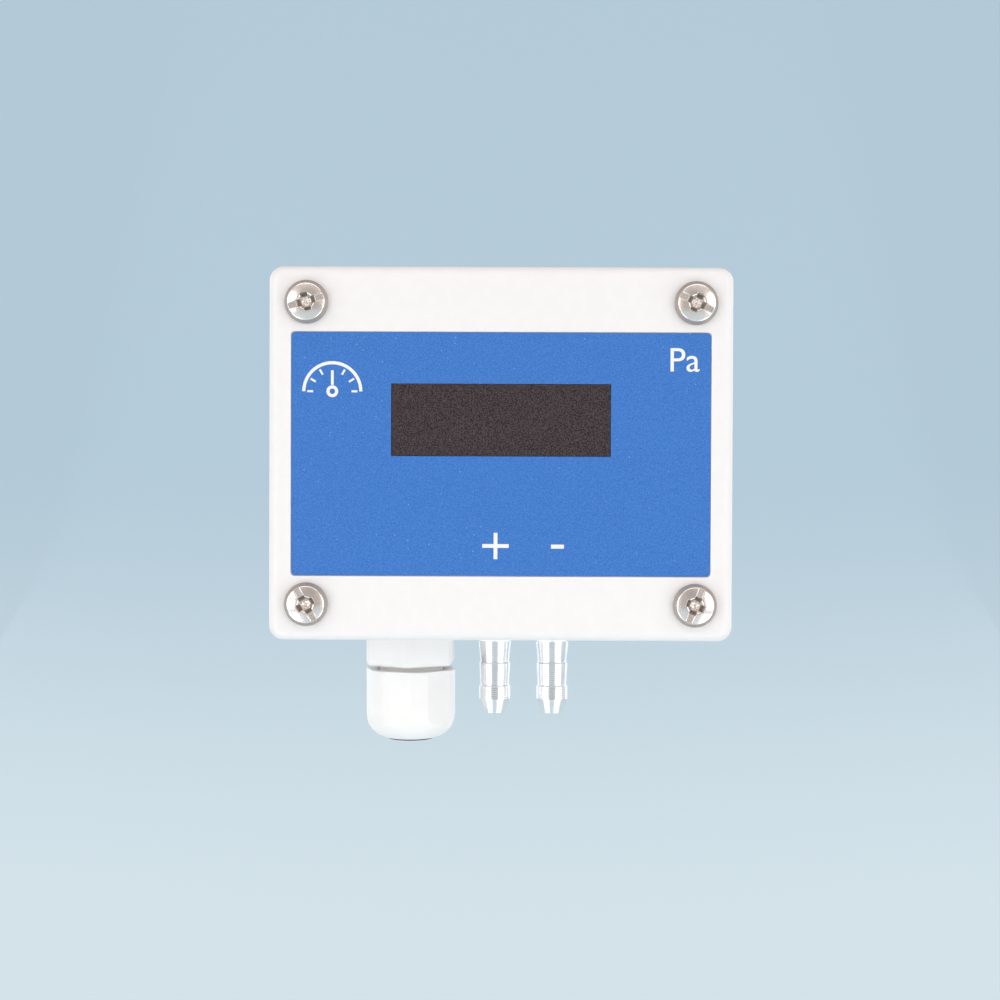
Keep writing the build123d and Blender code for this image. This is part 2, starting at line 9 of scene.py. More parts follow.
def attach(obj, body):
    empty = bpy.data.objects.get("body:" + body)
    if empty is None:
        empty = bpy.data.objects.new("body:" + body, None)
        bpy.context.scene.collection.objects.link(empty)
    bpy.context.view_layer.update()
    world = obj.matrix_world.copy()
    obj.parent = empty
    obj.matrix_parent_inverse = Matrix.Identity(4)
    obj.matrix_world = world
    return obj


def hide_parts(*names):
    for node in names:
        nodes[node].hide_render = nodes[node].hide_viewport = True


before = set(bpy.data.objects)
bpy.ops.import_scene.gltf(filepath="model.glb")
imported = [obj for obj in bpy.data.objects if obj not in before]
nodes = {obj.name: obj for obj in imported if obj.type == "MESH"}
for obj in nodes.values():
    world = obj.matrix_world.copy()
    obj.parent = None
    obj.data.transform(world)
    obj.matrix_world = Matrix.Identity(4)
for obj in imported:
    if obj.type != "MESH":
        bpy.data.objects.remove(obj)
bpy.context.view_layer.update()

# Shapes are worked out in millimetres, with X to the right, Y into the wall and Z up
MM = 0.001
LID_FRONT = -46.0
LABEL_FRONT = -45.9
WALL_FACE = -40.75
WALL_THICK = 3.2
BOARD_FRONT = -9.2
DISPLAY_FRONT = -38.8
CHIP_CENTRE = (-13.0, 7.4)
CHIP_HALF = 4.52
ENTRY_Y = -16.5
GLAND_X = -21.15
PORTS_X = {"positive": -1.3, "negative": 12.2}
SCREW_X = 42.65
SCREW_Z = 33.1
SCREW_TURNS = {"top_left": 16.0, "top_right": -26.0, "bottom_left": -60.0, "bottom_right": 68.0}

NEAR = 1e-6
UPRIGHT = Matrix(((1, 0, 0), (0, 0, -1), (0, 1, 0)))


# Mesh helpers

def grid_faces(rows, columns, closed_columns=False, closed_rows=False):
    """Quads between neighbouring points of a grid stored row by row."""
    r = np.arange(rows if closed_rows else rows - 1)[:, None]
    c = np.arange(columns if closed_columns else columns - 1)[None, :]
    across = (c + 1) % columns
    down = (r + 1) % rows
    quads = [r * columns + c, r * columns + across, down * columns + across, down * columns + c]
    return np.stack(np.broadcast_arrays(*quads), -1).reshape(-1, 4)


def piece(name, parts, material, body, stands_for=(), smooth=True, shade=None):
    """One mesh object from parts of (points in mm, faces, ...), at the origin and carried by a body.

    stands_for names the CAD nodes that it replaces. shade holds painted shade, a darkness from 0 to 1
    for each point, which the material reads.
    """
    points, faces, start = [], [], 0
    for part_points, *groups in parts:
        points.append(np.asarray(part_points, float).reshape(-1, 3))
        for group in groups:
            faces += (np.asarray(group) + start).tolist()
        start += len(points[-1])
    mesh = bpy.data.meshes.new(name)
    mesh.from_pydata((np.concatenate(points) * MM).tolist(), [], faces)
    shell = bmesh.new()
    shell.from_mesh(mesh)
    bmesh.ops.recalc_face_normals(shell, faces=shell.faces)
    shell.to_mesh(mesh)
    shell.free()
    mesh.polygons.foreach_set("use_smooth", np.full(len(mesh.polygons), smooth))
    if shade is not None:
        layer = mesh.attributes.new("shade", "FLOAT", "POINT")
        layer.data.foreach_set("value", np.asarray(shade, np.float32))
    made = bpy.data.objects.new(name, mesh)
    bpy.context.scene.collection.objects.link(made)
    mesh.materials.append(material)
    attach(made, body)
    if stands_for:
        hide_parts(*stands_for)


def soft_step(x, low, high):
    """0 below low, 1 above high, and a smooth S between."""
    t = np.clip((x - low) / (high - low), 0, 1)
    return t * t * (3 - 2 * t)


def soft_min(a, b, width):
    """The lower of two fields, with their crossing rounded over width."""
    h = np.clip(0.5 + 0.5 * (b - a) / width, 0, 1)
    return b * (1 - h) + a * h - width * h * (1 - h)


def rectangle(width, tall):
    """Corners of a rectangle about the origin."""
    return np.array([[-1, -1], [1, -1], [1, 1], [-1, 1]]) * [width / 2, tall / 2]


def softened(points, radius, steps=4):
    """The closed outline with each corner replaced by a short curve that starts radius before it.

    radius is one value, or one for each corner.
    """
    p = np.asarray(points, float)
    before, after = np.roll(p, 1, 0) - p, np.roll(p, -1, 0) - p
    reach = [np.minimum(radius, 0.45 * np.linalg.norm(v, axis=1)) for v in (before, after)]
    unit = [v / np.linalg.norm(v, axis=1)[:, None] for v in (before, after)]
    start = p + unit[0] * reach[0][:, None]
    end = p + unit[1] * reach[1][:, None]
    t = np.linspace(0, 1, steps + 1)[None, :, None]
    curve = start[:, None] * (1 - t) ** 2 + 2 * p[:, None] * t * (1 - t) + end[:, None] * t ** 2
    return curve.reshape(-1, 2)


def refined(outline, longest):
    """The closed outline with its long runs divided, so that no run is over longest."""
    rows = []
    for a, b in zip(outline, np.roll(outline, -1, 0)):
        count = max(1, int(math.ceil(np.linalg.norm(b - a) / longest)))
        rows.append(a + (b - a) * np.linspace(0, 1, count, endpoint=False)[:, None])
    return np.concatenate(rows)


def hexagon(angle, across_flats, turn):
    """Distance from the axis to the flats of a hexagon, turned by degrees, at each angle in radians."""
    from_flat = np.mod(angle - math.radians(turn) + math.pi / 6, math.pi / 3) - math.pi / 6
    return across_flats / 2 / np.cos(from_flat)


def thread(depth, angle, pitch, height):
    """How far a helical ridge stands above its root: a triangle wave with a rounded crest."""
    turn = np.mod(depth / pitch + angle / (2 * math.pi), 1)
    return height * soft_step(1 - np.abs(2 * turn - 1), 0.15, 0.9)


def spun(outline, x, columns, shape):
    """A closed (radius, depth) outline turned about the upright axis of an entry at x.

    Depth runs down from the face of the case's bottom wall. shape changes the radius at each
    angle and depth.
    """
    angle = np.linspace(0, 2 * math.pi, columns, endpoint=False)[None, :]
    depth = np.repeat(outline[:, 1:], columns, 1)
    radius = shape(np.repeat(outline[:, :1], columns, 1), angle, depth)
    across = x + radius * np.cos(angle)
    toward = ENTRY_Y - radius * np.sin(angle)
    points = np.stack(np.broadcast_arrays(across, toward, WALL_FACE - depth), -1)
    return points, grid_faces(len(outline), columns, True, True)


# Shader helpers

def feed(tree, node, inputs):
    """Link each of the node's inputs to a socket, or set it to a value."""
    for label, value in inputs.items():
        if isinstance(value, bpy.types.NodeSocket):
            tree.links.new(value, node.inputs[label])
        else:
            node.inputs[label].default_value = value


def added(tree, kind, inputs, **settings):
    """A new node with its settings and its inputs."""
    node = tree.nodes.new(kind)
    for name, value in settings.items():
        setattr(node, name, value)
    feed(tree, node, inputs)
    return node


def worked_out(tree, operation, *values, clamp=False):
    """The result of a Math node."""
    inputs = dict(enumerate(values))
    return added(tree, "ShaderNodeMath", inputs, operation=operation, use_clamp=clamp).outputs[0]


def mixed(tree, factor, a, b):
    """A colour between two colours or sockets."""
    return added(tree, "ShaderNodeMix", {0: factor, 6: a, 7: b}, data_type="RGBA").outputs[2]


def ranged(tree, source, start, end, low, high, curve="LINEAR"):
    """A value from start to end mapped to a range from low to high, and held at its ends."""
    inputs = {"Value": source, "From Min": start, "From Max": end, "To Min": low, "To Max": high}
    return added(tree, "ShaderNodeMapRange", inputs, interpolation_type=curve).outputs["Result"]


def noise_ranged(tree, source, low, high, spread=0.2):
    """A noise value within a spread about its middle mapped to a range."""
    return ranged(tree, source, 0.5 - spread, 0.5 + spread, low, high)


def place_of(tree, label="Object"):
    """The place that is shaded, by default in the object's own metres."""
    return tree.nodes.new("ShaderNodeTexCoord").outputs[label]


def axes_of(tree, vector):
    """The three numbers of a vector, by the names of the axes."""
    return added(tree, "ShaderNodeSeparateXYZ", {"Vector": vector}).outputs


def shader_group(name, inputs, outputs):
    """An empty shader group with its sockets, its input node and its output node."""
    tree = bpy.data.node_groups.new(name, "ShaderNodeTree")
    for label, kind, value in inputs:
        made = tree.interface.new_socket(label, in_out="INPUT", socket_type=kind)
        if value is not None:
            made.default_value = value
    for label, kind in outputs:
        tree.interface.new_socket(label, in_out="OUTPUT", socket_type=kind)
    return tree, tree.nodes.new("NodeGroupInput").outputs, tree.nodes.new("NodeGroupOutput")


def grain_group():
    """Broad mottling, a grain nine times finer and its relief, all from one place and scale."""
    tree, given, result = shader_group(
        "moulded_grain",
        [
            ("Vector", "NodeSocketVector", None),
            ("Scale", "NodeSocketFloat", 400.0),
            ("Relief", "NodeSocketFloat", 0.1),
        ],
        [("Mottle", "NodeSocketFloat"), ("Grain", "NodeSocketFloat"), ("Normal", "NodeSocketVector")],
    )
    place, scale = given["Vector"], given["Scale"]
    broad = added(tree, "ShaderNodeTexNoise", {"Vector": place, "Scale": scale, "Detail": 3.0})
    finer = worked_out(tree, "MULTIPLY", scale, 9.0)
    fine = added(tree, "ShaderNodeTexNoise", {"Vector": place, "Scale": finer, "Detail": 2.0})
    relief = {"Height": fine.outputs["Fac"], "Strength": given["Relief"], "Distance": 0.0001}
    bump = added(tree, "ShaderNodeBump", relief)
    outputs = {"Mottle": broad.outputs["Fac"], "Grain": fine.outputs["Fac"], "Normal": bump.outputs["Normal"]}
    feed(tree, result, outputs)
    return tree


def speck_group():
    """Sparse round specks: 1 near the centres of the few cells whose random red is high."""
    tree, given, result = shader_group(
        "sparse_specks",
        [
            ("Vector", "NodeSocketVector", None),
            ("Scale", "NodeSocketFloat", 600.0),
            ("Size", "NodeSocketFloat", 0.1),
        ],
        [("Mask", "NodeSocketFloat")],
    )
    cells = added(tree, "ShaderNodeTexVoronoi", {"Vector": given["Vector"], "Scale": given["Scale"]})
    near = worked_out(tree, "LESS_THAN", cells.outputs["Distance"], given["Size"])
    split = added(tree, "ShaderNodeSeparateColor", {"Color": cells.outputs["Color"]})
    rare = worked_out(tree, "GREATER_THAN", split.outputs["Red"], 0.72)
    feed(tree, result, {"Mask": worked_out(tree, "MULTIPLY", near, rare)})
    return tree


GRAIN = grain_group()
SPECKS = speck_group()


def finish_of(name, color, other, rough, scale, relief, metallic=0.0, spread=0.2):
    """A Principled material whose colour, roughness and relief vary with the shared grain."""
    made = bpy.data.materials.new(name)
    made.use_nodes = True
    tree = made.node_tree
    inputs = {"Vector": place_of(tree), "Scale": scale, "Relief": relief}
    grain = added(tree, "ShaderNodeGroup", inputs, node_tree=GRAIN).outputs
    mottle = noise_ranged(tree, grain["Mottle"], 0, 1, spread)
    looks = {
        "Base Color": mixed(tree, mottle, (*color, 1), (*other, 1)),
        "Roughness": noise_ranged(tree, grain["Grain"], *rough),
        "Normal": grain["Normal"],
        "Metallic": metallic,
    }
    feed(tree, tree.nodes["Principled BSDF"], looks)
    return made


def covered(tree, factor, color):
    """Mixes a colour over the one that a finish has, and gives back the finish's shader."""
    shader = tree.nodes["Principled BSDF"]
    was = shader.inputs["Base Color"].links[0].from_socket
    feed(tree, shader, {"Base Color": mixed(tree, factor, was, (*color, 1))})
    return shader


def speckled(made, color, scale, size, strength):
    """Adds sparse specks of a colour to a finish."""
    tree = made.node_tree
    inputs = {"Vector": place_of(tree), "Scale": scale, "Size": size}
    specks = added(tree, "ShaderNodeGroup", inputs, node_tree=SPECKS)
    covered(tree, worked_out(tree, "MULTIPLY", specks.outputs["Mask"], strength), color)
    return made


def with_painted_shade(made, color):
    """Mixes painted shade into a metal by the piece's own shade attribute: a darker colour, less metal and
    more roughness there.
    """
    tree = made.node_tree
    mask = added(tree, "ShaderNodeAttribute", {}, attribute_name="shade").outputs["Fac"]
    shader = covered(tree, mask, color)
    rough = shader.inputs["Roughness"].links[0].from_socket
    looks = {
        "Metallic": ranged(tree, mask, 0.0, 1.0, 1.0, 0.25),
        "Roughness": worked_out(tree, "MULTIPLY_ADD", mask, 0.45, rough),
    }
    feed(tree, shader, looks)
    return made


# Materials

case_white = finish_of("case_white", (0.895, 0.88, 0.885), (0.875, 0.86, 0.865), (0.34, 0.46), 420.0, 0.06)
gland_white = finish_of(
    "gland_white", (0.948, 0.937, 0.932), (0.915, 0.904, 0.898), (0.36, 0.5), 160.0, 0.06,
)
label_blue = speckled(
    finish_of(
        "label_blue", (0.02, 0.142, 0.488), (0.052, 0.212, 0.632), (0.42, 0.6), 4200.0, 0.08, spread=0.12,
    ),
    (0.45, 0.56, 0.85), 700.0, 0.08, 0.5,
)
label_white = finish_of("label_white", (0.9, 0.91, 0.94), (0.84, 0.86, 0.9), (0.4, 0.55), 900.0, 0.05)
window_smoke = speckled(
    finish_of(
        "window_smoke", (0.012, 0.003, 0.006), (0.07, 0.053, 0.059), (0.22, 0.36), 4200.0, 0.05, spread=0.07,
    ),
    (0.24, 0.2, 0.22), 900.0, 0.1, 0.6,
)
seal_black = finish_of("seal_black", (0.02, 0.02, 0.021), (0.035, 0.035, 0.036), (0.6, 0.8), 500.0, 0.2)
# Plated screws, with painted shade in this dark colour where their shade attribute is high
plated = with_painted_shade(
    finish_of("plated", (0.965, 0.887, 0.838), (0.9, 0.82, 0.775), (0.14, 0.26), 500.0, 0.06),
    (0.17, 0.145, 0.125),
)
aluminium = finish_of("aluminium", (0.93, 0.93, 0.93), (0.86, 0.86, 0.87), (0.14, 0.24), 400.0, 0.08, 1.0)
steel = finish_of("steel", (0.6, 0.6, 0.61), (0.5, 0.5, 0.51), (0.22, 0.4), 600.0, 0.1, 1.0)
brass = finish_of("brass", (0.72, 0.55, 0.27), (0.62, 0.45, 0.2), (0.2, 0.35), 500.0, 0.08, 1.0)
laminate = finish_of("laminate", (0.012, 0.12, 0.045), (0.018, 0.155, 0.06), (0.28, 0.42), 300.0, 0.06)
mask_green = finish_of("mask_green", (0.03, 0.2, 0.075), (0.04, 0.24, 0.095), (0.22, 0.34), 600.0, 0.04)
print_white = finish_of("print_white", (0.8, 0.81, 0.78), (0.7, 0.71, 0.68), (0.45, 0.6), 1200.0, 0.05)
tin = finish_of("tin", (0.8, 0.8, 0.78), (0.68, 0.68, 0.66), (0.2, 0.38), 900.0, 0.12, 1.0)
display_grey = finish_of(
    "display_grey", (0.06, 0.075, 0.065), (0.075, 0.09, 0.08), (0.06, 0.12), 300.0, 0.02,
)
part_body = finish_of("part_body", (0.1, 0.075, 0.055), (0.15, 0.115, 0.085), (0.35, 0.5), 1500.0, 0.08)
black_plastic = finish_of(
    "black_plastic", (0.018, 0.018, 0.02), (0.03, 0.03, 0.032), (0.45, 0.62), 700.0, 0.12,
)
sensor_grey = finish_of("sensor_grey", (0.5, 0.51, 0.52), (0.44, 0.45, 0.46), (0.4, 0.55), 500.0, 0.08)
soft_tube = finish_of("soft_tube", (0.78, 0.79, 0.76), (0.7, 0.71, 0.68), (0.3, 0.45), 200.0, 0.05)
tube_shader = soft_tube.node_tree.nodes["Principled BSDF"]
feed(soft_tube.node_tree, tube_shader, {"Subsurface Weight": 0.3, "Subsurface Scale": 0.001})
terminal_green = finish_of(
    "terminal_green", (0.02, 0.2, 0.075), (0.03, 0.25, 0.1), (0.35, 0.5), 500.0, 0.1,
)
sleeve = finish_of("sleeve", (0.02, 0.03, 0.08), (0.03, 0.045, 0.11), (0.25, 0.4), 500.0, 0.05)
button_red = finish_of("button_red", (0.5, 0.03, 0.025), (0.42, 0.02, 0.02), (0.35, 0.5), 600.0, 0.08)
claw_plastic = finish_of("claw_plastic", (0.72, 0.72, 0.72), (0.66, 0.66, 0.67), (0.4, 0.55), 300.0, 0.08)


def chip_finish():
    """Black moulding inside a square about the chip's centre, and tinned leads outside it."""
    made = finish_of("chip_black", (0.02, 0.02, 0.022), (0.034, 0.034, 0.036), (0.4, 0.55), 900.0, 0.1)
    tree = made.node_tree
    centre = (CHIP_CENTRE[0] * MM, 0, CHIP_CENTRE[1] * MM)
    away = added(tree, "ShaderNodeVectorMath", {0: place_of(tree), 1: centre}, operation="SUBTRACT")
    size = added(tree, "ShaderNodeVectorMath", {0: away.outputs[0]}, operation="ABSOLUTE")
    axes = axes_of(tree, size.outputs[0])
    larger = worked_out(tree, "MAXIMUM", axes["X"], axes["Z"])
    lead = worked_out(tree, "GREATER_THAN", larger, CHIP_HALF * MM)
    feed(tree, covered(tree, lead, (0.75, 0.75, 0.73)), {"Metallic": lead})
    return made


chip_black = chip_finish()

finishes = {
    case_white: ["enclosure_base", "enclosure_lid"],
    label_blue: ["front_label"],
    window_smoke: ["display_window"],
    seal_black: ["lid_gasket", "gland_washer", "gland_seal"],
    gland_white: ["gland_body", "gland_locknut", "gland_nut"],
    claw_plastic: ["gland_claw"],
    aluminium: ["nozzle_positive", "nozzle_negative"],
    steel: ["nozzle_washers", "nozzle_nuts", "board_screws", "display_screws", "terminal_screws"],
    brass: ["display_spacers"],
    laminate: ["main_board", "display_board"],
    black_plastic: ["display_module", "display_header", "zero_switch"],
    chip_black: ["controller_chip"],
    sensor_grey: ["pressure_sensor"],
    soft_tube: ["sensor_tube_positive", "sensor_tube_negative"],
    terminal_green: ["terminal_block"],
    sleeve: ["capacitors"],
    button_red: ["zero_button"],
}
for finish, names in finishes.items():
    for name in names:
        nodes[name].data.materials.clear()
        nodes[name].data.materials.append(finish)


# Lid screws

HEAD_RADIUS = 4.77
HEAD_UNDERSIDE = [[HEAD_RADIUS, 0.5], [HEAD_RADIUS, 0.2], [4.72, 0.06], [4.6, 0.0], [2.2, 0.0]]
CROWN_HEIGHT = 2.55
BEVEL_RADIUS = 4.08
EDGE_RADIUS = 4.7
SLOT_WALL = (0.6, 0.8)
ARM_WALL = (0.5, 0.84)
ARM_END = (1.72, 2.15)
PIT = (0.75, 1.3)
SHANK_LENGTH = 26.0
SHANK_CORE = 1.7
SHANK_RIDGE = 0.5
SHANK_PITCH = 1.6


def head_lines():
    """Grid lines across a screw head, close together at the walls of the slot and the cross."""
    even = np.linspace(0, HEAD_RADIUS, 34)
    near_walls = np.array([-0.14, -0.09, -0.05, -0.02, 0.01, 0.04, 0.08, 0.13])
    walls = np.array([0.74, 2.05])[:, None] + near_walls[None, :]
    rim = np.array([3.96, 4.02, BEVEL_RADIUS, 4.15, 4.65, EDGE_RADIUS, 4.74])
    lines = np.sort(np.concatenate([even, walls.ravel(), rim]))
    lines = lines[np.concatenate([[True], np.diff(lines) > 0.012])]
    return np.concatenate([-lines[:0:-1], lines])


def on_lid(points, turn):
    """Turns (right, up, out) points by degrees about the screw's axis, and sets them on the lid's face."""
    c, s = math.cos(math.radians(turn)), math.sin(math.radians(turn))
    right = points[:, 0] * c - points[:, 1] * s
    up = points[:, 0] * s + points[:, 1] * c
    return np.stack([right, LID_FRONT - points[:, 2], up], -1)


def head_surface(u, v, rho):
    """Height and painted shade of a screw's head over its grid lines u and v, at a distance rho out.

    The crown is a shallow dome down to a bevel, which falls to the rim. The slot lowers it to a
    flat floor, and the cross and its central cone lower it further, with walls that slope. Painted
    shade darkens the bevel as a dark reflection, and the far ends of the cross and, faintly, the
    slot as shade in their recesses.
    """
    crown = CROWN_HEIGHT - 0.62 * (rho / 4.0) ** 2
    bevel = 1.86 - 1.35 * (rho - BEVEL_RADIUS)
    height = soft_min(crown, bevel, 0.14)
    height = np.where(rho > EDGE_RADIUS, np.minimum(height, 1.0 - 2.0 * (rho - EDGE_RADIUS)), height)
    slot = 1 - soft_step(np.abs(v), *SLOT_WALL)
    slot_floor = 1.78 + 0.04 * rho
    height += (np.minimum(height, slot_floor) - height) * slot
    pit_shade = np.zeros_like(rho)
    for along, across in ((np.abs(u), np.abs(v)), (np.abs(v), np.abs(u))):
        arm = (1 - soft_step(across, *ARM_WALL)) * (1 - soft_step(along, *ARM_END))
        arm_floor = 0.6 + 0.3 * along
        height += (np.minimum(height, arm_floor) - height) * arm
        pit_shade = np.maximum(pit_shade, arm * soft_step(along, *PIT))
    cone = 0.3 + 1.2 * np.hypot(u, v)
    ring = soft_step(rho, 4.02, 4.14)
    # Painted shade: the bevel ring as a dark reflection, the pits at the cross's ends and the slot as shade
    # in recesses
    shade = np.maximum(np.maximum(0.66 * ring, 0.95 * pit_shade), 0.16 * slot)
    return soft_min(height, cone, 0.12), shade


def screw_head(turn):
    """Pan head over a square grid wrapped onto a disc, with painted shade for each point."""
    lines = head_lines()
    u, v = np.meshgrid(lines, lines, indexing="ij")
    square = np.maximum(np.abs(u), np.abs(v)) / HEAD_RADIUS
    length = np.hypot(u, v) + 1e-9
    wrap = soft_step(square, 0.5, 0.85)
    scale = 1 - wrap + wrap * square * HEAD_RADIUS / length
    x, y = u * scale, v * scale
    height, shade = head_surface(u, v, np.minimum(np.hypot(x, y), HEAD_RADIUS))
    top = np.stack([x, y, height], -1).reshape(-1, 3)

    count = len(lines)
    index = np.arange(count * count).reshape(count, count)
    loop = np.concatenate([index[:-1, 0], index[-1, :-1], index[:0:-1, -1], index[0, :0:-1]])
    around = np.arctan2(y.ravel()[loop], x.ravel()[loop])
    side = np.array(HEAD_UNDERSIDE)
    out, low = side[:, :1], side[:, 1:]
    skirt = np.stack(np.broadcast_arrays(out * np.cos(around), out * np.sin(around), low), -1)
    skirt = skirt.reshape(-1, 3)
    rows = np.concatenate([loop[None], len(top) + np.arange(len(skirt)).reshape(len(side), -1)])
    a, b = rows[:-1], rows[1:]
    band = np.stack([a, b, np.roll(b, -1, 1), np.roll(a, -1, 1)], -1).reshape(-1, 4)
    faces = np.concatenate([grid_faces(count, count), band])
    # Painted shade on the side and underside of the head
    shade = np.concatenate([shade.ravel(), np.full(len(skirt), 0.7)])
    return on_lid(np.concatenate([top, skirt]), turn), faces, shade


def screw_shank(turn):
    """Threaded shank: a core with a helical ridge, and a short tapered tip."""
    columns = 40
    depth = np.linspace(0, SHANK_LENGTH, 270)[:, None]
    angle = np.linspace(0, 2 * math.pi, columns, endpoint=False)[None, :]
    ridge = thread(depth, angle, SHANK_PITCH, SHANK_RIDGE) * soft_step(depth, 1.5, 4.0)
    radius = SHANK_CORE + ridge + SHANK_RIDGE * (1 - soft_step(depth, 1.5, 3.0))
    taper = 1.1 * soft_step(depth, 24.3, SHANK_LENGTH)
    radius = np.minimum(radius, SHANK_CORE + SHANK_RIDGE - taper)
    points = np.stack(np.broadcast_arrays(radius * np.cos(angle), radius * np.sin(angle), -depth), -1)
    faces = grid_faces(len(depth), columns, True)
    end = np.arange(columns)[::-1] + (len(depth) - 1) * columns
    fan = np.stack([np.roll(end, 1), end, np.full(columns, len(depth) * columns)], -1)
    points = np.concatenate([points.reshape(-1, 3), [points[-1].mean(0)]])
    return on_lid(points, turn), faces, fan


for corner, turn in SCREW_TURNS.items():
    x = SCREW_X if "right" in corner else -SCREW_X
    z = SCREW_Z if "top" in corner else -SCREW_Z
    centre = np.array([x, 0, z])
    head, head_faces, head_shade = screw_head(turn)
    shank, shank_faces, shank_tip = screw_shank(turn)
    piece(
        f"screw_{corner}_detail", [(head + centre, head_faces), (shank + centre, shank_faces, shank_tip)],
        plated, f"screw_{corner}", [f"lid_screw_{corner}"],
        shade=np.concatenate([head_shade, np.zeros(len(shank))]),
    )


# Cable gland

GLAND_ACROSS = 20.0
GLAND_PITCH = 1.5
HEX_START, HEX_END = 1.2, 8.65
HEX_OUTLINE = 11.6
COLLAR_END = 9.05
SIDE_RADIUS = 8.3
NUT_START, NUT_END = 9.65, 25.75
NUT_RADIUS = 10.57
NUT_BORE = 7.7
DOME_START = 18.5
MOUTH_RADIUS = 6.0


def screwed(radius, angle, depth, start, full, height):
    """A stub's side cut into a thread of a height, from nothing at one radius to full at another."""
    return radius - soft_step(radius, start, full) * (height - thread(depth, -angle, GLAND_PITCH, height))


def gland_body_shape(radius, angle, depth):
    """Hexagon with rounded corners and edges, and threads on both stubs."""
    flats = hexagon(angle, GLAND_ACROSS, 2.0)
    hexed = soft_min(flats, np.full_like(flats, 11.25), 0.3) - (HEX_OUTLINE - radius)
    in_hex = (depth > HEX_START - NEAR) & (depth < HEX_END + NEAR) & (radius > SIDE_RADIUS)
    inner = screwed(radius, angle, depth, 7.0, 7.7, 0.45)
    outer = screwed(radius, angle, depth, 6.8, 7.45, 0.4)
    stubs = np.where(depth < -WALL_THICK, inner, np.where(depth > COLLAR_END, outer, radius))
    return np.where(in_hex, hexed, stubs)


gland_outline = softened(
    [
        (8.0, -10.5), (8.0, HEX_START), (HEX_OUTLINE, HEX_START), (HEX_OUTLINE, HEX_END), (7.6, HEX_END),
        (7.6, 17.65), (6.75, 17.65), (6.75, 11.55), (5.2, 11.55), (5.2, -10.5),
    ],
    np.array([0.5, 0.1, 0.35, 1.3, 0.15, 0.5, 0.2, 0.2, 0.2, 0.3]),
)
piece(
    "gland_body_detail", [spun(refined(gland_outline, 0.2), GLAND_X, 240, gland_body_shape)],
    gland_white, "housing", ["gland_body"],
)


def nut_outline():
    """Outer side, dome, mouth, cone and threaded bore of the dome nut as one closed outline."""
    t = np.linspace(0, math.pi / 2, 24)
    dome_radius = MOUTH_RADIUS + (NUT_RADIUS - MOUTH_RADIUS) * np.cos(t) ** 1.35
    dome_depth = DOME_START + (NUT_END - DOME_START) * np.sin(t) ** 0.7
    corners = [
        (NUT_BORE, NUT_START), (NUT_RADIUS, NUT_START), (NUT_RADIUS, DOME_START - 0.01),
        (MOUTH_RADIUS, NUT_END), (5.45, NUT_END), (5.45, 24.6), (6.15, 24.6), (6.8, 19.8), (NUT_BORE, 19.8),
    ]
    curves = softened(corners, 0.35).reshape(len(corners), -1, 2)
    dome = np.stack([dome_radius, dome_depth], -1)
    return np.concatenate([*curves[:2], dome, *curves[4:]])


def nut_shape(radius, angle, depth):
    """Six flats cut the round outside, and a thread runs inside."""
    outside = soft_min(radius, hexagon(angle, GLAND_ACROSS, -14.0), 0.05)
    inside = radius - thread(depth + GLAND_PITCH / 2, -angle, GLAND_PITCH, 0.4)
    bored = (radius > NUT_BORE - 0.2) & (radius < NUT_BORE + 0.2) & (depth > 10.2) & (depth < 19.5)
    return np.where(radius > SIDE_RADIUS, outside, np.where(bored, inside, radius))


piece(
    "gland_nut_detail", [spun(refined(nut_outline(), 0.2), GLAND_X, 360, nut_shape)],
    gland_white, "gland_cap", ["gland_nut"],
)


# Hose nozzles

COLLAR = 2.9
NOZZLE_RIDGE = 0.3
NOZZLE_PITCH = 0.8
TOOL_MARK = 0.012
TOOL_FEED = 13.0


def nozzle_shape(radius, angle, depth):
    """A hexagon's flats above the first barb, tool marks round the barbs and a thread in the case."""
    in_hex = (depth > -NEAR) & (depth < COLLAR + NEAR) & (radius > 3.95)
    hexed = hexagon(angle, 8.1, 0.0)
    flats = soft_min(radius, soft_min(hexed, np.full_like(hexed, 4.66), 0.08), 0.05)
    stub = (radius > 2.8) & (radius < 3.05) & (depth < -WALL_THICK)
    ridged = radius - NOZZLE_RIDGE + thread(depth, -angle, NOZZLE_PITCH, NOZZLE_RIDGE)
    barbs = (radius > 2.6) & (depth > COLLAR + 0.2)
    turned = radius + TOOL_MARK * np.sin(depth * TOOL_FEED)
    return np.where(in_hex, flats, np.where(stub, ridged, np.where(barbs, turned, radius)))


nozzle_outline = softened(
    [
        (1.9, -13.4), (1.9, -7.4), (3.0, -7.4), (3.0, 0.0), (4.68, 0.0), (4.68, 2.65), (4.45, COLLAR),
        (3.9, COLLAR), (3.4, 8.05), (3.7, 8.15), (3.4, 13.45), (3.7, 13.55), (3.7, 16.7), (2.65, 20.0),
        (1.7, 20.0), (1.7, -7.4), (1.1, -7.4), (1.1, -13.4),
    ],
    0.16,
)
for sign, x in PORTS_X.items():
    piece(
        f"nozzle_{sign}_detail", [spun(refined(nozzle_outline, 0.13), x, 128, nozzle_shape)],
        aluminium, "housing", [f"nozzle_{sign}"],
    )


# Marks on the label

INK = 0.02
CAPITAL_SHARE = 0.72


def inked(outline):
    """A thin upright layer on the label with a closed (right, up) outline."""
    ring = np.asarray(outline, float)
    count = len(ring)
    depths = (LABEL_FRONT, LABEL_FRONT - INK)
    layers = [np.stack([ring[:, 0], np.full(count, y), ring[:, 1]], -1) for y in depths]
    low = np.arange(count)
    walls = np.stack([low, np.roll(low, -1), np.roll(low, -1) + count, low + count], -1)
    return np.concatenate(layers), walls, [list(range(count, 2 * count))]


def bar(centre, length, width, turn=0.0):
    """Outline of a bar about its centre, turned by degrees from the level."""
    c, s = math.cos(math.radians(turn)), math.sin(math.radians(turn))
    return rectangle(length, width) @ np.array([[c, s], [-s, c]]) + centre


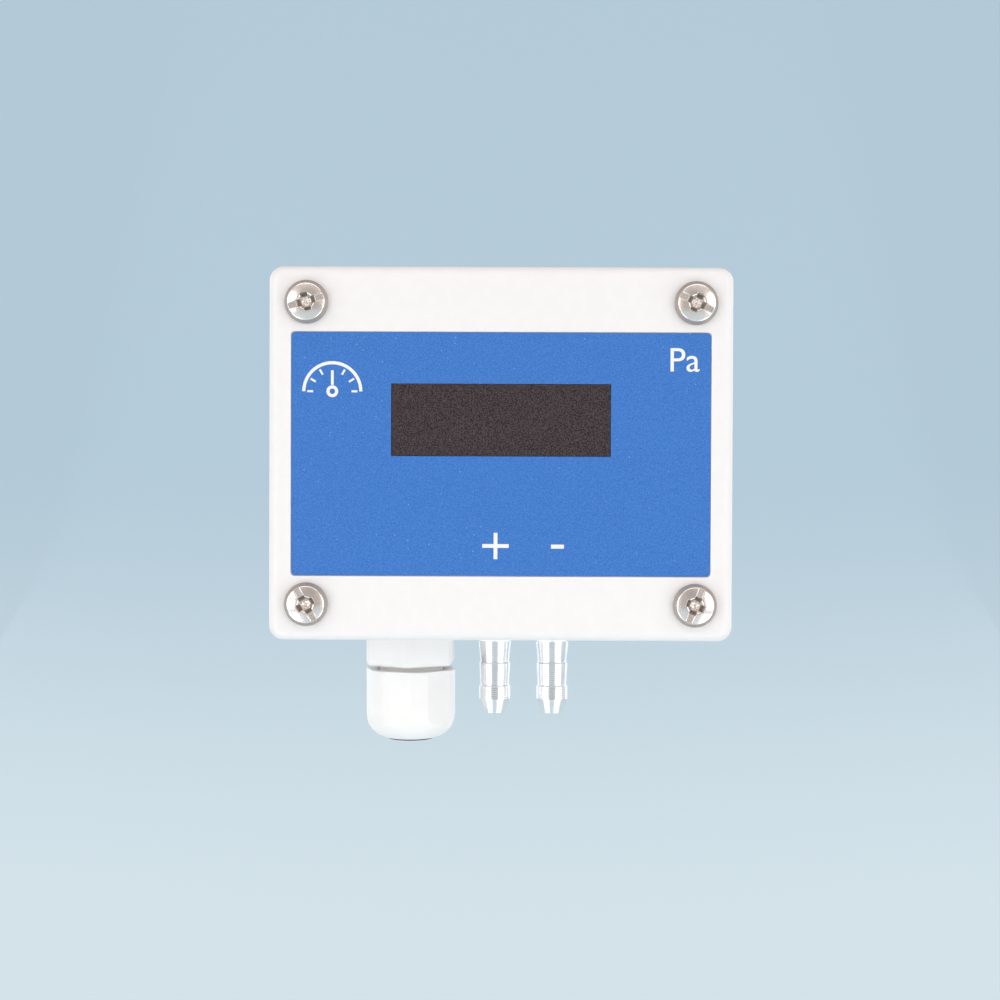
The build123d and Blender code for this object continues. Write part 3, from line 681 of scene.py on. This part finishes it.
def arc(centre, inner, outer, start, end, steps=48):
    """Outline of a ring's part between two angles in degrees."""
    angle = np.radians(np.linspace(start, end, steps))
    way = np.stack([np.cos(angle), np.sin(angle)], -1)
    return np.concatenate([way * outer, way[::-1] * inner]) + centre


def plus_sign(centre, arm, half):
    """Outline of a plus sign from the length of its arms and half their width."""
    corners = [
        (half, half), (half, arm), (-half, arm), (-half, half), (-arm, half), (-arm, -half),
        (-half, -half), (-half, -arm), (half, -arm), (half, -half), (arm, -half), (arm, half),
    ]
    return np.array(corners) + centre


def dial_mark(centre, radius):
    """A plain dial: a half ring, six ticks inside it, a hub and a pointer straight up."""
    parts = [inked(arc(centre, radius - 0.7, radius, 0, 180))]
    for angle in (0, 30, 60, 120, 150, 180):
        way = np.array([math.cos(math.radians(angle)), math.sin(math.radians(angle))])
        parts.append(inked(bar(centre + way * (radius - 1.75), 1.3, 0.45, angle)))
    parts.append(inked(arc(centre, 0.6, 1.3, 0, 359.9, 40)))
    parts.append(inked(bar(np.add(centre, [0, 3.0]), 3.2, 0.6, 90)))
    return parts


def unit_mark(text, right, low, height):
    """The unit in plain letters, made into a mesh and set upright on the label."""
    letters = bpy.data.curves.new("mark_unit", "FONT")
    letters.body = text
    letters.align_x = "RIGHT"
    letters.size = height / CAPITAL_SHARE * MM
    letters.extrude = INK / 2 * MM
    source = bpy.data.objects.new("mark_unit_text", letters)
    mesh = bpy.data.meshes.new_from_object(source)
    bpy.data.objects.remove(source)
    place = [value * MM for value in (right, LABEL_FRONT - INK / 2, low)]
    mesh.transform(Matrix.Translation(place) @ UPRIGHT.to_4x4())
    made = bpy.data.objects.new("mark_unit", mesh)
    bpy.context.scene.collection.objects.link(made)
    mesh.materials.clear()
    mesh.materials.append(label_white)
    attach(made, "lid")


marks = {
    "mark_plus": [inked(plus_sign((-1.1, -20.2), 2.9, 0.42))],
    "mark_minus": [inked(bar((12.5, -20.3), 2.85, 0.9))],
    "mark_dial": dial_mark((-37.0, 13.6), 6.6),
}
for name, parts in marks.items():
    piece(name, parts, label_white, "lid", smooth=False)
unit_mark("Pa", 43.6, 18.2, 5.4)


# Small parts on the main board

SUNK = 0.05


def brick(centre, size, tall, edge, base=BOARD_FRONT):
    """A part on a base: a rounded rectangle (right, up), its top edge drawn in by a quarter round."""
    outline = softened(rectangle(*size), 1.3 * edge, 3)
    t = np.linspace(0, math.pi / 2, 4)
    inset = np.concatenate([[0], edge * (1 - np.cos(t))])[:, None, None]
    height = np.concatenate([[-SUNK], tall - edge + edge * np.sin(t)])[:, None]
    flat = outline[None] * (1 - inset / (np.array(size) / 2)) + centre
    points = np.stack(np.broadcast_arrays(flat[..., 0], base - height, flat[..., 1]), -1)
    count = len(outline)
    top = len(t) * count
    caps = [list(range(count)), list(range(top, top + count))]
    return points, grid_faces(len(t) + 1, count, True), caps


def ribbon(path, width, tall=0.04):
    """A flat bar's section carried along a path on the board, mitred where the path bends."""
    p = np.asarray(path, float)
    way = np.diff(p, axis=0)
    way /= np.linalg.norm(way, axis=1)[:, None]
    both = np.vstack([way[:1], way]) + np.vstack([way, way[-1:]])
    across = np.stack([-both[:, 1], both[:, 0]], -1) * (width / np.sum(both ** 2, axis=1))[:, None]
    left, right = p + across, p - across
    high, low = BOARD_FRONT - tall, BOARD_FRONT + SUNK
    rows = [
        np.stack([side[:, 0], np.full(len(p), y), side[:, 1]], -1)
        for side, y in ((left, low), (left, high), (right, high), (right, low))
    ]
    end = 4 * (len(p) - 1)
    caps = [list(range(4)), list(range(end, end + 4))]
    return np.stack(rows, 1), grid_faces(len(p), 4, True), caps


def via_ring(x, z):
    """A small plated ring: a flat section turned about its hole."""
    hole, rim, columns = 0.22, 0.45, 16
    angle = np.linspace(0, 2 * math.pi, columns, endpoint=False)[None, :]
    radius = np.array([hole, hole, rim, rim])[:, None]
    height = np.array([-SUNK, SUNK, SUNK, -SUNK])[:, None]
    across, up = x + radius * np.cos(angle), z + radius * np.sin(angle)
    points = np.stack(np.broadcast_arrays(across, BOARD_FRONT - height, up), -1)
    return points, grid_faces(len(radius), columns, True, True)


def box_line(low, high):
    """Corners of a closed rectangle's outline that starts and ends in the middle of its lower side."""
    middle = (low[0] + high[0]) / 2
    return [(middle, low[1]), (high[0], low[1]), high, (low[0], high[1]), low, (middle - 0.01, low[1])]


def board_tracks():
    """Paths of the copper tracks: four buses of five from the chip's sides, with stepped bends."""
    tracks = []
    for k in range(5):
        z = 4.9 + 1.25 * k
        left, right = -23.2 - 1.1 * k, 24.2 + 1.1 * k
        x = -15.5 + 1.25 * k
        tracks += [
            [(-18.4, z), (left + 1, z), (left, z - 1), (left, -11.2)],
            [
                (-7.6, z), (right - 1, z), (right, z - 1), (right, -8.0 - k), (right - 2, -10.0 - k),
                (16.0, -10.0 - k),
            ],
            [
                (x, 2.0), (x, -2.0 - k), (x + 1, -3.0 - k), (3.0 + k, -3.0 - k), (4.0 + k, -4.0 - k),
                (4.0 + k, -5.2 - k),
            ],
            [
                (x, 12.8), (x, 19.0 + k), (x + 1, 20.0 + k), (26.0 - k, 20.0 + k), (27.0 - k, 19.0 + k),
                (27.0 - k, 15.0),
            ],
        ]
    return tracks


# Places of the small two-ended parts on the board, and whether each one stands upright
TWO_ENDED = [
    *((-33.6, 6.0 + 3.4 * k, True) for k in range(5)),
    *((31.4, -22.0 + 3.6 * k, False) for k in range(6)),
    *((35.0, -18.0 + 4.4 * k, True) for k in range(5)),
    *((-22.5 + 5.2 * k, -26.5, False) for k in range(4)),
]
PRINTED_BOXES = [
    ((-19.6, 0.8), (-6.4, 14.0)),
    ((-34.6, -22.8), (-7.6, -11.4)),
    ((-6.3, -25.8), (17.2, -4.2)),
    ((27.2, -1.2), (32.8, 11.2)),
    ((-35.6, -8.4), (-28.4, -0.6)),
]
bodies, ends = [], []
for x, z, upright in TWO_ENDED:
    order = -1 if upright else 1
    size, cap, step = (2.0, 1.3)[::order], (0.42, 1.36)[::order], np.array((0.82, 0))[::order]
    bodies.append(brick((x, z), size, 0.62, 0.08))
    ends += [brick(np.array([x, z]) + side * step, cap, 0.68, 0.07) for side in (-1, 1)]
regulator = brick((-32.0, -4.4), (6.4, 3.6), 1.7, 0.2)
regulator_legs = [brick((-34.3 + 2.3 * k, -7.0), (0.8, 1.8), 0.5, 0.1) for k in range(3)]
regulator_tab = brick((-32.0, -1.9), (3.2, 1.6), 0.5, 0.1)
crystal = brick((30.0, 5.0), (4.6, 11.2), 3.6, 0.9)
glass = brick((0.0, 7.4), (39.0, 11.6), 0.5, 0.15, DISPLAY_FRONT)
tracks = board_tracks()
copper = [ribbon(path, 0.5) for path in tracks]
rings = [via_ring(*path[-1]) for path in tracks]
prints = [ribbon(box_line(*corners), 0.2, 0.06) for corners in PRINTED_BOXES]

piece("board_part_bodies", bodies + [regulator], part_body, "housing")
piece("board_part_ends", ends + regulator_legs + [regulator_tab], tin, "housing")
piece("board_crystal", [crystal], tin, "housing")
piece("board_tracks", copper, mask_green, "housing", smooth=False)
piece("board_vias", rings, tin, "housing", smooth=False)
piece("display_glass", [glass], display_grey, "housing")
piece("board_print", prints, print_white, "housing", smooth=False)


# Floor and backdrop

def backdrop_glowing_paint():
    """Pale blue, lighter towards the floor.

    Camera, glossy and transmission rays see three quarters of it glowing in its own colour, unlit, as painted
    light.
    """
    paint = bpy.data.materials.new("backdrop_glowing_paint")
    paint.use_nodes = True
    tree = paint.node_tree
    height = ranged(tree, axes_of(tree, place_of(tree))["Z"], -0.3, 0.02, 0.0, 1.0, "SMOOTHSTEP")
    tint = mixed(tree, height, (0.668, 0.782, 0.84, 1), (0.467, 0.606, 0.705, 1))
    shader = tree.nodes["Principled BSDF"]
    feed(tree, shader, {"Base Color": tint, "Roughness": 0.9, "Specular IOR Level": 0.1})
    # Painted light: the backdrop glows in its own colour for camera, glossy and transmission rays
    glow = added(tree, "ShaderNodeEmission", {"Color": tint})
    ray = tree.nodes.new("ShaderNodeLightPath").outputs
    seen = worked_out(tree, "ADD", ray["Is Camera Ray"], ray["Is Glossy Ray"], clamp=True)
    seen = worked_out(tree, "ADD", seen, ray["Is Transmission Ray"], clamp=True)
    share = worked_out(tree, "MULTIPLY", seen, 0.75)
    both = added(tree, "ShaderNodeMixShader", {0: share, 1: shader.outputs[0], 2: glow.outputs[0]})
    feed(tree, tree.nodes["Material Output"], {"Surface": both.outputs[0]})
    return paint


def backdrop():
    """A floor and a wall joined by a wide quarter round, as one sheet, in metres."""
    radius, floor, wall = 0.35, -0.36, 0.75
    front, top, half_width = -2.2, 2.2, 2.4
    turn = np.linspace(0, math.pi / 2, 24)
    curve = np.stack([wall - radius + radius * np.sin(turn), floor + radius - radius * np.cos(turn)], -1)
    line = np.concatenate([[[front, floor]], curve, [[wall, top]]])
    x = np.array([[-half_width, half_width]])
    points = np.stack(np.broadcast_arrays(x, line[:, :1], line[:, 1:]), -1)
    mesh = bpy.data.meshes.new("backdrop")
    mesh.from_pydata(points.reshape(-1, 3).tolist(), [], grid_faces(len(line), 2).tolist())
    mesh.polygons.foreach_set("use_smooth", np.full(len(mesh.polygons), True))
    made = bpy.data.objects.new("backdrop", mesh)
    bpy.context.scene.collection.objects.link(made)
    mesh.materials.append(backdrop_glowing_paint())


backdrop()


# Light and camera

WARM = (1.0, 0.955, 0.925)


def softbox(name, place, target, size, power):
    """A warm white rectangular lamp, in metres and watts, that the camera doesn't see."""
    lamp = bpy.data.lights.new(name, "AREA")
    lamp.shape = "RECTANGLE"
    lamp.size, lamp.size_y = size
    lamp.energy = power
    lamp.color = WARM
    made = bpy.data.objects.new(name, lamp)
    bpy.context.scene.collection.objects.link(made)
    made.location = place
    made.visible_camera = False
    made.rotation_mode = "QUATERNION"
    made.rotation_quaternion = (Vector(place) - Vector(target)).to_track_quat("Z", "Y")


for hand, side in (("left", -1), ("right", 1)):
    softbox(f"{hand}_softbox", (0.82 * side, -0.7, 0.1), (0, -0.03, -0.02), (0.9, 0.7), 2.7)
    softbox(f"low_{hand}_softbox", (0.26 * side, -0.27, -0.33), (0, -0.02, -0.05), (0.34, 0.34), 0.6)
    softbox(f"back_{hand}_softbox", (0.52 * side, 0.5, 0.1), (0, -0.02, -0.01), (0.62, 0.55), 1.08)
softbox("top_softbox", (0.0, -0.5, 0.8), (0, -0.02, 0), (1.2, 0.6), 2.4)


def studio_world():
    """Warm white light, weaker from above and from behind the camera, which itself sees pale blue."""
    world = bpy.data.worlds.new("studio")
    bpy.context.scene.world = world
    world.use_nodes = True
    tree = world.node_tree
    way = axes_of(tree, place_of(tree, "Generated"))
    above = ranged(tree, way["Z"], 0.15, 0.8, 0.92, 0.4, "SMOOTHSTEP")
    behind = ranged(tree, way["Y"], -0.93, -0.82, 0.5, 1.0, "SMOOTHSTEP")
    white = tree.nodes["Background"]
    feed(tree, white, {"Color": (*WARM, 1), "Strength": worked_out(tree, "MULTIPLY", above, behind)})
    blue = added(tree, "ShaderNodeBackground", {"Color": (0.463, 0.6, 0.7, 1)})
    seen = tree.nodes.new("ShaderNodeLightPath").outputs["Is Camera Ray"]
    both = added(tree, "ShaderNodeMixShader", {0: seen, 1: white.outputs[0], 2: blue.outputs[0]})
    feed(tree, tree.nodes["World Output"], {"Surface": both.outputs[0]})


studio_world()

# The camera's place in metres and its turns in degrees from facing the lid squarely
CAMERA_PLACE = (0.00082, -0.432, -0.00346)
YAW, PITCH, ROLL = 0.144, -0.986, -0.215

lens = bpy.data.cameras.new("photo_camera")
lens.lens = 63.36
lens.sensor_width = 36.0
lens.clip_start = 0.01
lens.clip_end = 20.0
camera = bpy.data.objects.new("photo_camera", lens)
bpy.context.scene.collection.objects.link(camera)
tilt = (
    Matrix.Rotation(math.radians(YAW), 3, "Z")
    @ Matrix.Rotation(math.radians(PITCH), 3, "X")
    @ Matrix.Rotation(math.radians(ROLL), 3, "Y")
)
camera.matrix_world = Matrix.Translation(CAMERA_PLACE) @ (tilt @ UPRIGHT).to_4x4()
bpy.context.scene.camera = camera
bpy.context.scene.view_settings.view_transform = "Standard"

bpy.context.view_layer.update()
